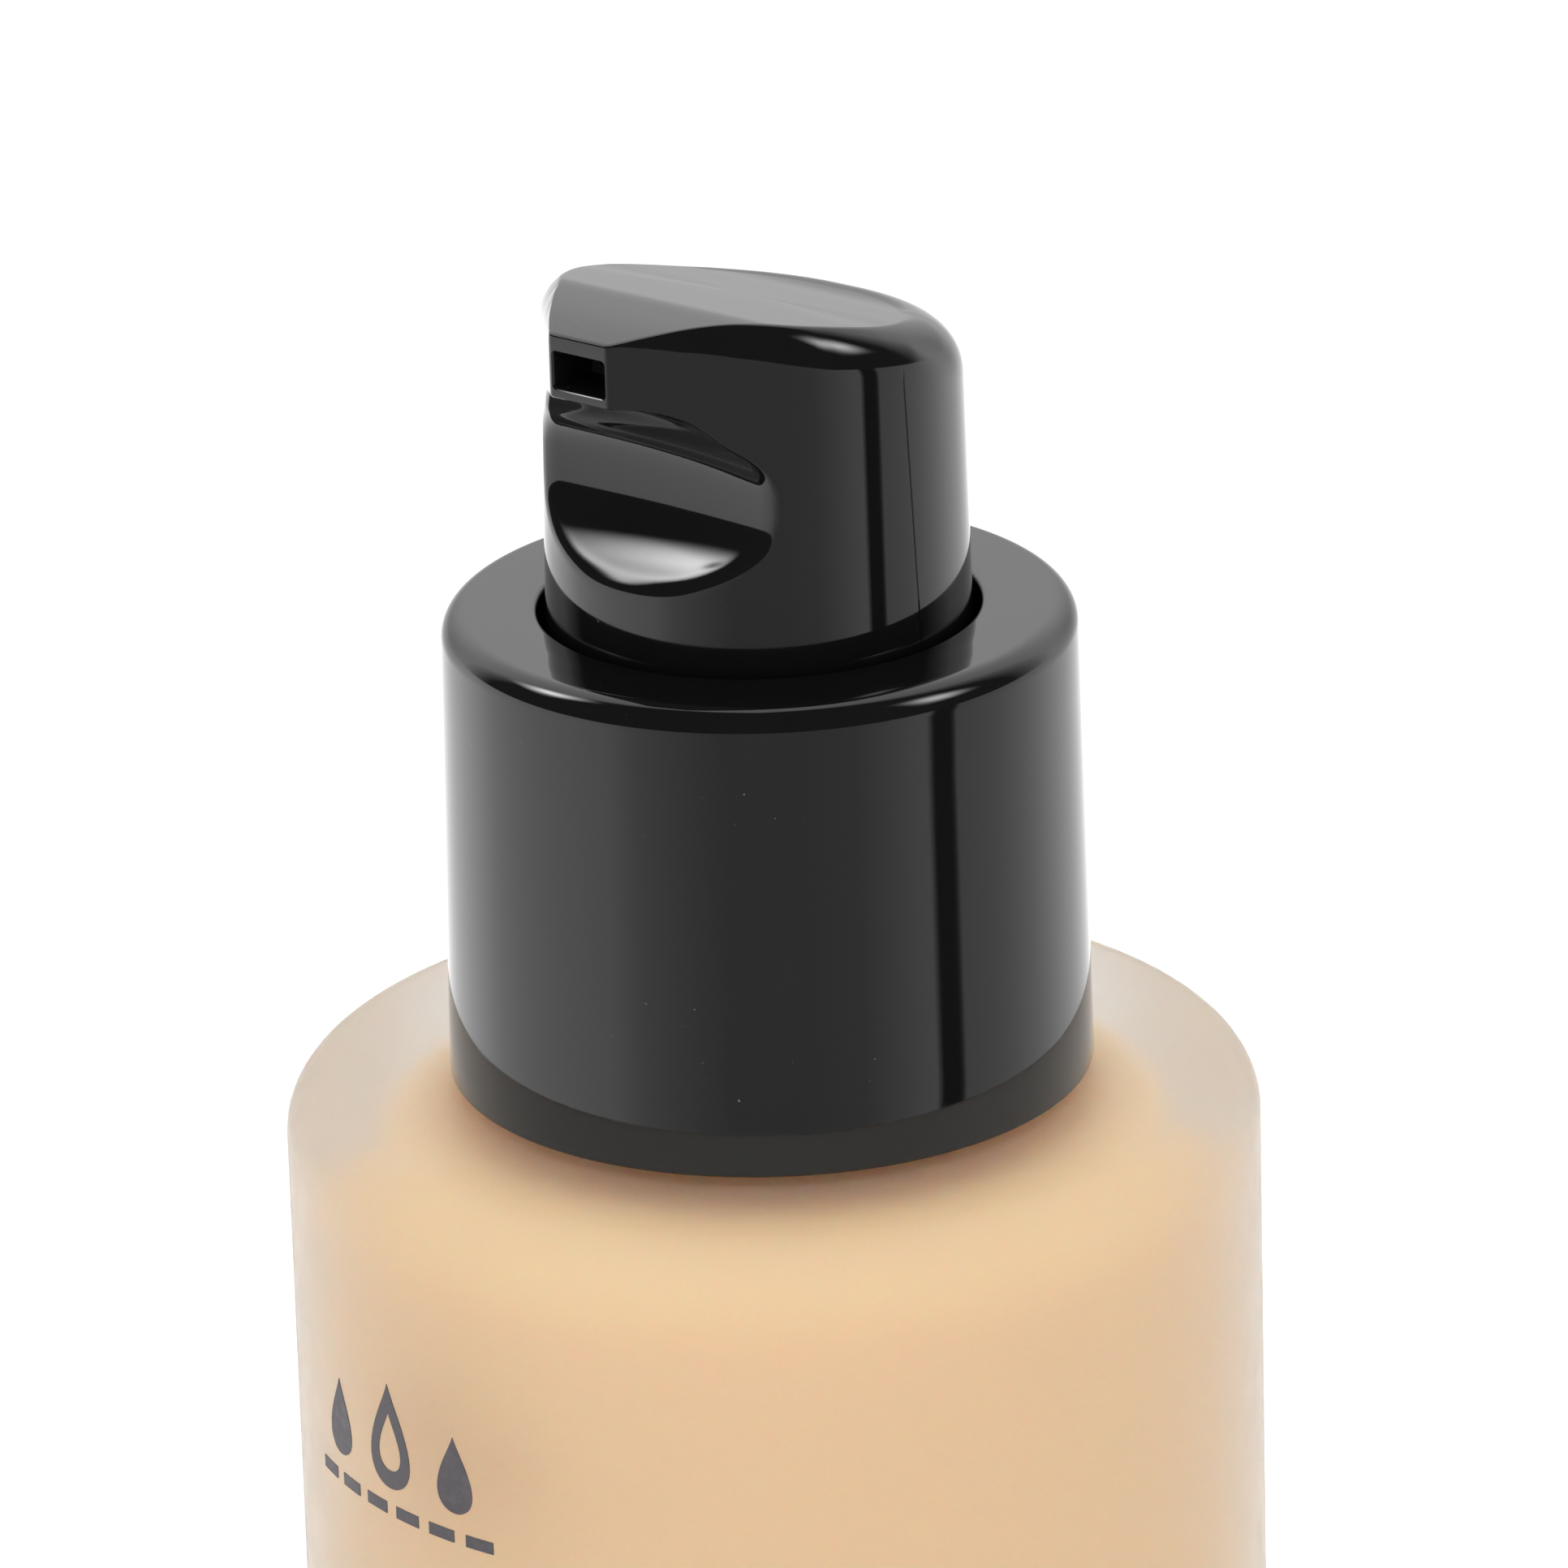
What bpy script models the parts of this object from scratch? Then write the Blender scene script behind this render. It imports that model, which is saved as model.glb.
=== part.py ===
"""Foundation bottle with a screw-on treatment pump.

A thick-walled frosted glass bottle holds the liquid. A threaded closure clamps the pump on its neck,
an overshell hides the closure, and a beaked actuator slides in the overshell when it is pressed.
The bottle stands on z = 0, every turned piece is centred on the Z axis and the nozzle points to -Y.
Dimensions are in millimetres, and MM turns them into metres.
"""

import math

import bmesh
import bpy
from mathutils import Matrix, Vector

MM = 0.001
MERGE_DISTANCE = 0.00001
GAP = 0.3  # between pieces that touch on the real object

# Glass bottle
BODY_RADIUS = 19.0
SHOULDER_HEIGHT = 58.0
SHOULDER_ROUNDING = 2.1
HEEL_ROUNDING = 1.6
BASE_THICKNESS = 8.5
PUNT_RADIUS = 13.0
PUNT_DEPTH = 1.0
INNER_RADIUS = 15.4
INNER_CORNER = 3.0
SHOULDER_THICKNESS = 2.0

# Neck finish
NECK_RADIUS = 8.7
NECK_BORE = 6.0
NECK_HEIGHT = 9.0
NECK_FILLET = 0.6
NECK_TOP = SHOULDER_HEIGHT + NECK_HEIGHT
THREAD_PITCH = 3.175
NECK_BEAD = 0.9
NECK_BEAD_RADIUS = 8.8
NECK_THREAD_START = 60.6
NECK_THREAD_TURNS = 1.25

# Liquid
FILL_LEVEL = 53.0

# Closure
CLOSURE_RADIUS = 11.1
CLOSURE_BORE = 10.1
CLOSURE_BOTTOM = 59.0
CLOSURE_DECK_BOTTOM = 69.6
CLOSURE_TOP = 70.6
CLOSURE_HOLE = 5.5
CLOSURE_BEAD = 0.85
CLOSURE_BEAD_RADIUS = 10.2
CLOSURE_THREAD_START = 60.3
CLOSURE_THREAD_TURNS = 1.0

# Overshell
OVERSHELL_BOTTOM = 58.4
OVERSHELL_TOP = 77.15
OVERSHELL_BOTTOM_RADIUS = 12.55
OVERSHELL_TOP_RADIUS = 12.25
OVERSHELL_ROUNDING = 1.05
OVERSHELL_BORE = 11.45
OVERSHELL_DECK = 1.0
SLEEVE_BORE = 8.52
SLEEVE_RADIUS = 9.4

# Pump barrel and what it holds
BARREL_RADIUS = 5.1
BARREL_BORE = 4.2
BARREL_FLOOR = 46.7
FLANGE_RADIUS = 9.0
FLANGE_BOTTOM = 68.4
FLANGE_TOP = 69.3
CAGE_BORE = 1.9
CAGE_RADIUS = 2.9
CAGE_LIP = 1.25
INLET_RADIUS = 0.8
SEAT_BOTTOM = 42.1
SEAT_TOP = 43.2
SOCKET_BORE = 1.7
SOCKET_RADIUS = 2.6
SOCKET_TOP = 41.6
SOCKET_BOTTOM = 36.6
BALL_RADIUS = 1.4
TUBE_RADIUS = 1.4
TUBE_BORE = 0.9
TUBE_BOTTOM = 9.8
TURRET_BOTTOM = 62.0
TURRET_CAP_BOTTOM = CLOSURE_TOP + GAP
TURRET_CAP_TOP = 71.8
TURRET_CAP_RADIUS = 6.4
TURRET_BORE = 3.1
STEM_RADIUS = 1.7
STEM_BORE = 1.0
STEM_TOP = 83.2
STEM_BOTTOM = 58.9
STEM_COLLAR_RADIUS = 2.8
STEM_COLLAR_BOTTOM = 64.4
PISTON_TOP = 63.4
SPRING_RADIUS = 2.5
SPRING_WIRE = 0.25
SPRING_END_PITCH = 0.75
SPRING_TURNS = 6
PLUG_BOTTOM = 57.2
PLUG_RADIUS = 2.9

# Actuator; its heights count from the overshell's top, s runs from the axis to the nozzle
ACTUATOR_SKIRT = -1.9
ACTUATOR_SKIRT_RADIUS = 8.24
ACTUATOR_TOP_RADIUS = 7.95
ACTUATOR_BLANK_TOP = 15.0
BEAK_REACH = 10.42
BEAK_HALF_WIDTH = 1.38
BEAK_BOTTOM = 4.5
SKIRT_BORE = 6.9
CAVITY_RADIUS = 6.7
CAVITY_FRONT = 4.4
CAVITY_TOP = 9.8
NOZZLE_WIDTH = 2.4
NOZZLE_HEIGHT = 1.4
NOZZLE_LEVEL = 12.07
CHANNEL_SLOPE = 15.0
CHANNEL_WIDTH = 1.6
CHANNEL_HEIGHT = 0.8
CORE_REACH = 8.0
CORE_BAR_WIDTH = 2.8
CORE_BAR_HEIGHT = 1.6
CORE_RADIUS = 2.6
CORE_BOTTOM = -0.55
CORE_TOP = 9.5

# Finger pad: flat behind the nozzle, then falling to the back. Points are (s, height).
PAD_OUTLINE = [(12.0, 13.2), (10.42, 13.45), (8.5, 13.72), (6.9, 13.78), (5.6, 13.62), (4.4, 13.32),
               (3.1, 12.98), (1.4, 12.6), (0.0, 12.32), (-2.5, 11.86), (-4.6, 11.42), (-9.0, 10.75)]
# Scoop under the nozzle: from its lower lip, in and up, and out under the beak
SCOOP_OUTLINE = [(12.0, 2.95), (8.2, 3.1), (7.35, 3.35), (6.75, 3.7), (6.25, 4.3), (5.9, 5.0), (5.7, 5.9),
                 (5.68, 7.1), (5.82, 7.8), (6.15, 8.38), (6.6, 8.85), (7.5, 9.78), (8.8, 10.6),
                 (10.42, 10.97), (12.0, 11.1)]
CUTTER_REACH = 12.0
CUTTER_TOP = 20.0

BLACK = (0.012, 0.012, 0.013, 1.0)
WHITE = (0.86, 0.86, 0.85, 1.0)


def clear_scene():
    for item in list(bpy.data.objects):
        bpy.data.objects.remove(item, do_unlink=True)


def make_collection(name):
    collection = bpy.data.collections.new(name)
    bpy.context.scene.collection.children.link(collection)
    return collection


def make_material(name, colour, roughness, metallic=0.0, transmission=0.0):
    material = bpy.data.materials.new(name)
    material.use_nodes = True
    shader = material.node_tree.nodes["Principled BSDF"]
    shader.inputs["Base Color"].default_value = colour
    shader.inputs["Roughness"].default_value = roughness
    shader.inputs["Metallic"].default_value = metallic
    shader.inputs["Transmission Weight"].default_value = transmission
    material.diffuse_color = colour
    return material


def arc(centre, height, radius, start, end, steps):
    """Points of an arc about (centre, height), from start to end in degrees."""
    points = []
    for step in range(steps + 1):
        angle = math.radians(start + (end - start) * step / steps)
        points.append((centre + radius * math.cos(angle), height + radius * math.sin(angle)))
    return points


def add_object(name, mesh, material, collection, base=0.0):
    item = bpy.data.objects.new(name, mesh)
    collection.objects.link(item)
    item.location.z = base * MM
    if material is not None:
        mesh.materials.append(material)
    return item


def shade(mesh, angle=40.0):
    mesh.shade_smooth()
    mesh.set_sharp_from_angle(angle=math.radians(angle))


def turned(name, outline, material, base=0.0, steps=32, closed=True):
    """A turned piece. The outline of (radius, height) runs down the outer side."""
    mesh = bpy.data.meshes.new(name)
    vertices = [(radius * MM, 0.0, (height - base) * MM) for radius, height in outline]
    edges = [(index, index + 1) for index in range(len(outline) - 1)]
    if closed:
        edges.append((len(outline) - 1, 0))
    mesh.from_pydata(vertices, edges, [])
    item = add_object(name, mesh, material, parts, base)
    screw = item.modifiers.new("turn", "SCREW")
    screw.steps = steps
    screw.render_steps = steps
    screw.use_merge_vertices = True
    screw.merge_threshold = MERGE_DISTANCE
    screw.use_smooth_shade = True
    return item


def as_mesh(curve_object):
    """Turns a curve object with caps into one welded mesh object of the same name."""
    graph = bpy.context.evaluated_depsgraph_get()
    mesh = bpy.data.meshes.new_from_object(curve_object.evaluated_get(graph))
    name = curve_object.name
    placement = curve_object.matrix_world.copy()
    collection = curve_object.users_collection[0]
    bpy.data.objects.remove(curve_object, do_unlink=True)
    work = bmesh.new()
    work.from_mesh(mesh)
    bmesh.ops.remove_doubles(work, verts=work.verts, dist=MERGE_DISTANCE)
    bmesh.ops.recalc_face_normals(work, faces=work.faces)
    work.to_mesh(mesh)
    work.free()
    shade(mesh)
    item = bpy.data.objects.new(name, mesh)
    collection.objects.link(item)
    item.matrix_world = placement
    return item


def wire(name, points, thickness, material, collection, ends=None):
    """A round wire through the points. ends thins the first and last points for a thread's run-out."""
    curve = bpy.data.curves.new(name, "CURVE")
    curve.dimensions = "3D"
    curve.bevel_depth = thickness * MM
    curve.bevel_resolution = 2
    curve.use_fill_caps = True
    spline = curve.splines.new("POLY")
    spline.points.add(len(points) - 1)
    for index, (knot, place) in enumerate(zip(spline.points, points)):
        knot.co = (place[0] * MM, place[1] * MM, place[2] * MM, 1.0)
        if ends:
            inside = min(index, len(points) - 1 - index)
            knot.radius = min(1.0, 0.3 + 0.7 * inside / ends)
    item = bpy.data.objects.new(name, curve)
    collection.objects.link(item)
    if material is not None:
        curve.materials.append(material)
    return item


def thread(name, radius, bead, start, turns, phase, per_turn=24):
    """A right-hand thread bead as a closed mesh. phase is the height of the helix at angle 0."""
    first = 2 * math.pi * (start - phase) / THREAD_PITCH
    count = round(turns * per_turn)
    points = []
    for index in range(count + 1):
        angle = first + 2 * math.pi * index / per_turn
        height = phase + THREAD_PITCH * angle / (2 * math.pi)
        points.append((radius * math.cos(angle), radius * math.sin(angle), height))
    bead_object = wire(name, points, bead, None, cutters, ends=4)
    bpy.context.view_layer.update()
    return hide_cutter(as_mesh(bead_object))


def hide_cutter(item):
    item.hide_render = True
    item.display_type = "WIRE"
    return item


def combine(item, other, operation):
    step = item.modifiers.new(other.name, "BOOLEAN")
    step.operation = operation
    step.solver = "EXACT"
    step.object = other


def extruded(name, outline, low, high, place, material=None, collection=None, shrink=1.0):
    """Extrudes a closed outline from low to high; place turns (a, b, level) into a point.

    The end face is shrunk about the outline's origin by the factor shrink, for mould draft.
    """
    work = bmesh.new()
    floor = work.faces.new([work.verts.new(Vector(place(a, b, low)) * MM) for a, b in outline])
    grown = bmesh.ops.extrude_face_region(work, geom=[floor])
    moved = [corner for corner in grown["geom"] if isinstance(corner, bmesh.types.BMVert)]
    bmesh.ops.translate(work, verts=moved, vec=Vector(place(0.0, 0.0, high - low)) * MM)
    if shrink != 1.0:
        bmesh.ops.scale(work, verts=moved, vec=(shrink, shrink, 1.0))
    bmesh.ops.recalc_face_normals(work, faces=work.faces)
    mesh = bpy.data.meshes.new(name)
    work.to_mesh(mesh)
    work.free()
    return add_object(name, mesh, material, collection or cutters)


def block(name, size, matrix):
    """A box cutter of the given size, placed by matrix, both in millimetres."""
    work = bmesh.new()
    bmesh.ops.create_cube(work, size=1.0)
    bmesh.ops.scale(work, verts=work.verts, vec=Vector(size) * MM)
    mesh = bpy.data.meshes.new(name)
    work.to_mesh(mesh)
    work.free()
    item = add_object(name, mesh, None, cutters)
    item.matrix_world = Matrix.Translation(matrix.translation * MM) @ matrix.to_3x3().to_4x4()
    return hide_cutter(item)


def rod(name, radius, low, high, steps=32):
    """A round cutter on the Z axis."""
    work = bmesh.new()
    bmesh.ops.create_cone(work, cap_ends=True, segments=steps, radius1=radius * MM, radius2=radius * MM,
                          depth=(high - low) * MM)
    mesh = bpy.data.meshes.new(name)
    work.to_mesh(mesh)
    work.free()
    return hide_cutter(add_object(name, mesh, None, cutters, base=(low + high) / 2))


def bottle():
    bore_corner = 1.0
    ceiling = SHOULDER_HEIGHT - SHOULDER_THICKNESS
    inner = [(0.0, BASE_THICKNESS)]
    inner += arc(INNER_RADIUS - INNER_CORNER, BASE_THICKNESS + INNER_CORNER, INNER_CORNER, -90, 0, 4)
    inner += arc(INNER_RADIUS - INNER_CORNER, ceiling - INNER_CORNER, INNER_CORNER, 0, 90, 4)
    inner += arc(NECK_BORE + bore_corner, ceiling + bore_corner, bore_corner, 270, 180, 3)
    neck = [(NECK_BORE, NECK_TOP)]
    neck += arc(NECK_RADIUS - NECK_FILLET, NECK_TOP - NECK_FILLET, NECK_FILLET, 90, 0, 2)
    neck += arc(NECK_RADIUS + NECK_FILLET, SHOULDER_HEIGHT + NECK_FILLET, NECK_FILLET, 180, 270, 2)
    body = arc(BODY_RADIUS - SHOULDER_ROUNDING, SHOULDER_HEIGHT - SHOULDER_ROUNDING, SHOULDER_ROUNDING,
               90, 0, 6)
    body += arc(BODY_RADIUS - HEEL_ROUNDING, HEEL_ROUNDING, HEEL_ROUNDING, 0, -90, 4)
    body += [(PUNT_RADIUS, 0.0), (PUNT_RADIUS - 2.0, 0.6 * PUNT_DEPTH), (0.0, PUNT_DEPTH)]
    glass = make_material("frosted_glass", (0.88, 0.86, 0.83, 1.0), 0.45, transmission=0.9)
    item = turned("bottle", inner + neck + body, glass, steps=48, closed=False)
    combine(item, thread("neck_thread", NECK_BEAD_RADIUS, NECK_BEAD, NECK_THREAD_START,
                         NECK_THREAD_TURNS, NECK_THREAD_START), "UNION")
    return item


def foundation_fill():
    outer_radius = INNER_RADIUS - GAP
    floor = BASE_THICKNESS + GAP
    barrel_clearance = BARREL_RADIUS + 0.4
    socket_clearance = CAGE_RADIUS + 0.4
    tube_clearance = TUBE_RADIUS + 0.4
    outline = [(0.0, TUBE_BOTTOM - 0.4), (tube_clearance, TUBE_BOTTOM - 0.4),
               (tube_clearance, SOCKET_BOTTOM - 0.5), (socket_clearance, SOCKET_BOTTOM - 0.5),
               (socket_clearance, SEAT_TOP), (barrel_clearance, SEAT_TOP + 2.0),
               (barrel_clearance, FILL_LEVEL)]
    outline += [(outer_radius - 1.0, FILL_LEVEL), (outer_radius, FILL_LEVEL - 1.8)]
    outline += arc(outer_radius - INNER_CORNER, floor + INNER_CORNER, INNER_CORNER, 0, -90, 4)
    outline += [(0.0, floor)]
    liquid = make_material("foundation_liquid", (0.80, 0.55, 0.33, 1.0), 0.35)
    return turned("foundation_fill", outline, liquid, base=floor, steps=40, closed=False)


def screw_closure():
    edge = 0.6
    outline = [(CLOSURE_HOLE, CLOSURE_TOP)]
    outline += arc(CLOSURE_RADIUS - edge, CLOSURE_TOP - edge, edge, 90, 0, 2)
    outline += [(CLOSURE_RADIUS, CLOSURE_BOTTOM), (CLOSURE_BORE, CLOSURE_BOTTOM),
                (CLOSURE_BORE, CLOSURE_DECK_BOTTOM), (CLOSURE_HOLE, CLOSURE_DECK_BOTTOM)]
    plastic = make_material("closure_plastic", BLACK, 0.4)
    item = turned("screw_closure", outline, plastic, base=CLOSURE_BOTTOM, steps=40)
    half_pitch_lower = NECK_THREAD_START - THREAD_PITCH / 2
    combine(item, thread("closure_thread", CLOSURE_BEAD_RADIUS, CLOSURE_BEAD, CLOSURE_THREAD_START,
                         CLOSURE_THREAD_TURNS, half_pitch_lower), "UNION")
    return item


def overshell():
    hole_edge = 0.25
    bottom_edge = 0.8
    ceiling = OVERSHELL_TOP - OVERSHELL_DECK
    outline = arc(SLEEVE_BORE + hole_edge, OVERSHELL_TOP - hole_edge, hole_edge, 180, 90, 2)
    outline += arc(OVERSHELL_TOP_RADIUS - OVERSHELL_ROUNDING, OVERSHELL_TOP - OVERSHELL_ROUNDING,
                   OVERSHELL_ROUNDING, 90, 0, 5)
    outline += [(OVERSHELL_BOTTOM_RADIUS, OVERSHELL_BOTTOM),
                (OVERSHELL_BORE + GAP, OVERSHELL_BOTTOM),
                (OVERSHELL_BORE, OVERSHELL_BOTTOM + bottom_edge),
                (OVERSHELL_BORE, ceiling), (SLEEVE_RADIUS, ceiling),
                (SLEEVE_RADIUS, CLOSURE_TOP + GAP), (SLEEVE_BORE, CLOSURE_TOP + GAP)]
    plastic = make_material("overshell_gloss_black", BLACK, 0.08)
    return turned("overshell", outline, plastic, base=OVERSHELL_BOTTOM, steps=48)


def neck_gasket():
    inner = NECK_BORE - 0.5
    outer = NECK_RADIUS - GAP
    low = NECK_TOP + GAP
    high = FLANGE_BOTTOM - GAP
    foam = make_material("gasket_foam", (0.80, 0.80, 0.78, 1.0), 0.8)
    return turned("neck_gasket", [(inner, high), (outer, high), (outer, low), (inner, low)], foam,
                  base=low)


def pump_housing():
    cage_bottom = SEAT_TOP + 0.6
    outline = [(BARREL_BORE, CLOSURE_TOP), (BARREL_RADIUS, CLOSURE_TOP),
               (BARREL_RADIUS, FLANGE_TOP), (FLANGE_RADIUS, FLANGE_TOP),
               (FLANGE_RADIUS, FLANGE_BOTTOM), (BARREL_RADIUS, FLANGE_BOTTOM),
               (BARREL_RADIUS, cage_bottom + BARREL_RADIUS - CAGE_RADIUS), (CAGE_RADIUS, cage_bottom),
               (CAGE_RADIUS, SOCKET_TOP - 0.5), (SOCKET_RADIUS, SOCKET_BOTTOM),
               (SOCKET_BORE, SOCKET_BOTTOM), (SOCKET_BORE, SOCKET_TOP), (INLET_RADIUS, SOCKET_TOP),
               (INLET_RADIUS, SEAT_BOTTOM), (CAGE_BORE, SEAT_TOP), (CAGE_BORE, BARREL_FLOOR - 0.5),
               (CAGE_LIP, BARREL_FLOOR - 0.3), (CAGE_LIP, BARREL_FLOOR), (BARREL_BORE, BARREL_FLOOR)]
    plastic = make_material("housing_polypropylene", WHITE, 0.35)
    return turned("pump_housing", outline, plastic, base=FLANGE_BOTTOM)


def retaining_turret():
    sleeve = BARREL_BORE - GAP
    web_bottom = TURRET_CAP_TOP - 1.9
    stem_clearance = STEM_RADIUS + GAP
    edge = 0.3
    outline = [(stem_clearance, TURRET_CAP_TOP), (TURRET_CAP_RADIUS - edge, TURRET_CAP_TOP),
               (TURRET_CAP_RADIUS, TURRET_CAP_TOP - edge), (TURRET_CAP_RADIUS, TURRET_CAP_BOTTOM),
               (sleeve, TURRET_CAP_BOTTOM), (sleeve, TURRET_BOTTOM), (TURRET_BORE, TURRET_BOTTOM),
               (TURRET_BORE, web_bottom), (stem_clearance, web_bottom)]
    plastic = make_material("turret_polypropylene", WHITE, 0.35)
    return turned("retaining_turret", outline, plastic, base=TURRET_BOTTOM)


def stem():
    collar_top = STEM_COLLAR_BOTTOM + 1.0
    outline = [(STEM_BORE, STEM_TOP), (STEM_RADIUS - 0.2, STEM_TOP), (STEM_RADIUS, STEM_TOP - 0.4),
               (STEM_RADIUS, collar_top), (STEM_COLLAR_RADIUS, collar_top),
               (STEM_COLLAR_RADIUS, STEM_COLLAR_BOTTOM), (STEM_RADIUS, STEM_COLLAR_BOTTOM),
               (STEM_RADIUS, STEM_BOTTOM), (STEM_BORE, STEM_BOTTOM)]
    plastic = make_material("stem_polypropylene", WHITE, 0.35)
    item = turned("stem", outline, plastic, base=STEM_BOTTOM, steps=24)
    port = Matrix.Translation((0.0, 0.0, STEM_BOTTOM + 0.8))
    combine(item, block("stem_port", (2 * CORE_RADIUS, 0.8, 0.8), port), "DIFFERENCE")
    return item


def valve_plug():
    head_top = STEM_BOTTOM - GAP
    outline = [(0.0, head_top + 3.0), (0.5, head_top + 3.0), (STEM_BORE - GAP, head_top + 2.6),
               (STEM_BORE - GAP, head_top), (PLUG_RADIUS, head_top), (PLUG_RADIUS, PLUG_BOTTOM),
               (1.9, PLUG_BOTTOM), (1.6, PLUG_BOTTOM - 1.2), (0.0, PLUG_BOTTOM - 1.2)]
    plastic = make_material("plug_polyethylene", WHITE, 0.4)
    return turned("valve_plug", outline, plastic, base=PLUG_BOTTOM, steps=24, closed=False)


def piston():
    lip = BARREL_BORE - GAP
    inner = STEM_RADIUS + GAP
    sleeve = TURRET_BORE - 0.4
    shoulder = TURRET_BOTTOM - GAP
    outline = [(inner, PISTON_TOP), (sleeve, PISTON_TOP), (sleeve, shoulder - 0.5),
               (lip - 0.5, shoulder), (lip, shoulder), (lip, shoulder - 0.5), (lip - 0.4, shoulder - 1.1),
               (lip - 0.4, STEM_BOTTOM + 0.9), (lip, STEM_BOTTOM + 0.3), (lip, STEM_BOTTOM),
               (inner, STEM_BOTTOM)]
    plastic = make_material("piston_polyethylene", (0.80, 0.82, 0.84, 1.0), 0.4)
    return turned("piston", outline, plastic, base=STEM_BOTTOM)


def return_spring(per_turn=16):
    """A compression spring with one closed turn at each end."""
    low = BARREL_FLOOR + GAP + SPRING_WIRE
    high = PLUG_BOTTOM - GAP - SPRING_WIRE
    pitch = (high - low - 2 * SPRING_END_PITCH) / (SPRING_TURNS - 2)
    points = []
    for index in range(SPRING_TURNS * per_turn + 1):
        turn = index / per_turn
        closed_turns = min(turn, 1.0) + max(turn - (SPRING_TURNS - 1), 0.0)
        rise = SPRING_END_PITCH * closed_turns + pitch * (turn - closed_turns)
        angle = 2 * math.pi * turn
        points.append((SPRING_RADIUS * math.cos(angle), SPRING_RADIUS * math.sin(angle), low + rise))
    steel = make_material("spring_steel", (0.62, 0.62, 0.64, 1.0), 0.25, metallic=1.0)
    return wire("return_spring", points, SPRING_WIRE, steel, parts)


def inlet_ball():
    """The ball rests on the 45 degree seat, a gap above it."""
    seat_apex = SEAT_BOTTOM - INLET_RADIUS
    height = seat_apex + (BALL_RADIUS + GAP) * math.sqrt(2.0)
    work = bmesh.new()
    bmesh.ops.create_uvsphere(work, u_segments=20, v_segments=12, radius=BALL_RADIUS * MM)
    mesh = bpy.data.meshes.new("inlet_ball")
    work.to_mesh(mesh)
    work.free()
    shade(mesh)
    steel = make_material("ball_steel", (0.68, 0.68, 0.70, 1.0), 0.12, metallic=1.0)
    return add_object("inlet_ball", mesh, steel, parts, base=height)


def dip_tube():
    top = SOCKET_TOP - GAP
    outline = [(TUBE_BORE, top), (TUBE_RADIUS, top), (TUBE_RADIUS, TUBE_BOTTOM), (TUBE_BORE, TUBE_BOTTOM)]
    plastic = make_material("dip_tube_polyethylene", WHITE, 0.4)
    return turned("dip_tube", outline, plastic, base=TUBE_BOTTOM, steps=20)


def across(s, height, level):
    """Places an (s, height) outline that is extruded along X."""
    return (level, -s, height)


def upward(a, b, level):
    """Places a plan outline that is extruded along Z."""
    return (a, b, level)


def lift(outline):
    """Moves an actuator outline's heights from the overshell's top to the bottle's base."""
    return [(s, height + OVERSHELL_TOP) for s, height in outline]


def channel_box(name, width, height, back, front):
    """A box along the sloping channel, between the distances back and front from the axis."""
    slope = math.radians(CHANNEL_SLOPE)
    middle = (back + front) / 2
    level = OVERSHELL_TOP + NOZZLE_LEVEL - (CORE_REACH - middle) * math.tan(slope)
    length = (front - back) / math.cos(slope)
    matrix = Matrix.Translation((0.0, -middle, level)) @ Matrix.Rotation(-slope, 4, "X")
    return block(name, (width, length, height), matrix)


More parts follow.
